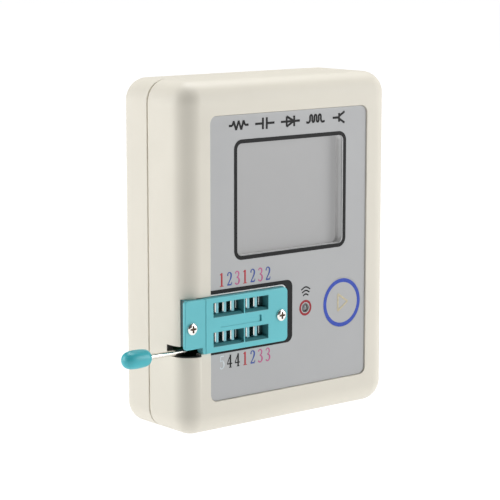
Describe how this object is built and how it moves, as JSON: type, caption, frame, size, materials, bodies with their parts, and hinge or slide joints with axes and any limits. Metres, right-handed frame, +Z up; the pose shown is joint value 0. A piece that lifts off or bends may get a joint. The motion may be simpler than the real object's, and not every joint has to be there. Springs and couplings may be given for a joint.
{
  "type": "component tester",
  "caption": "Palm-sized bench instrument: ivory split casing with a grey front label, display window, lever-operated test socket, infrared receiver hole and round start key.",
  "frame": {"origin": "middle of the casing's bottom face, where it stands", "axes": "+Z up, the front with label and socket faces -Y, +X to the right seen from the front; the lever points along -X"},
  "size_m": [0.0863, 0.0287, 0.0905],
  "materials": {
    "casing": "fine satin moulded ABS",
    "label_film": "silver-grey printed film",
    "gasket": "grey foam",
    "display_glass": "unlit display behind a matt polariser",
    "white_plastic": "plain moulded",
    "flex_film": "amber film",
    "board": "solder mask",
    "chip_black": "moulded epoxy",
    "ceramic": "ceramic",
    "tin_plate": "tinned sheet",
    "lens": "smoked diffusing",
    "lamp": "clear resin",
    "screw_steel": "zinc plated",
    "screw_nickel": "bright nickel",
    "contact_metal": "bright plated",
    "socket_teal": "satin moulded",
    "knob_vinyl": "smooth dipped vinyl",
    "cell_foil": "laminated foil",
    "lead_insulation": "soft insulation"
  },
  "bodies": {
    "case": {"front_shell": "casing", "rear_shell": "casing", "case_screws": "screw_steel", "front_label": "label_film", "display_gasket": "gasket", "lcd_panel": "display_glass", "lcd_backlight": "white_plastic", "lcd_carrier": "white_plastic", "lcd_flex": "flex_film", "main_board": "board", "board_screws": "screw_steel", "mcu_chip": "chip_black", "charger_chip": "chip_black", "boost_inductor": "chip_black", "crystal_can": "tin_plate", "cell_connector": "white_plastic", "chip_capacitors": "ceramic", "chip_resistors": "chip_black", "charge_led": "lamp", "usb_shell": "tin_plate", "usb_tongue": "chip_black", "ir_receiver": "chip_black", "receiver_lens": "lens", "switch_body": "chip_black", "socket_contacts": "contact_metal", "socket_base": "socket_teal", "socket_cover": "socket_teal", "socket_screws": "screw_nickel", "battery_cell": "cell_foil", "battery_tape": "gasket", "battery_leads": "lead_insulation"},
    "lever": {"lever_rod": "contact_metal", "lever_knob": "knob_vinyl"},
    "slider": {"socket_slider": "socket_teal"},
    "start_key": {"start_key_film": "label_film", "start_key_cap": "white_plastic", "switch_plunger": "chip_black"}
  },
  "joints": [
    {"name": "lever_turn", "type": "hinge", "parent": "case", "child": "lever", "pos_m": [-0.031, -0.0094, 0.02215], "axis": [0, 0, 1], "range_deg": [0, 90]},
    {"name": "slider_slide", "type": "slide", "parent": "case", "child": "slider", "axis": [1, 0, 0], "range_m": [0, 0.0007]},
    {"name": "key_press", "type": "slide", "parent": "case", "child": "start_key", "axis": [0, 1, 0], "range_m": [0, 0.0004], "stiffness_N_per_m": 1500}
  ],
  "couplings": [
    {"joint": "lever_turn", "follows": "slider_slide", "rad_per_m": 2243.9}
  ]
}
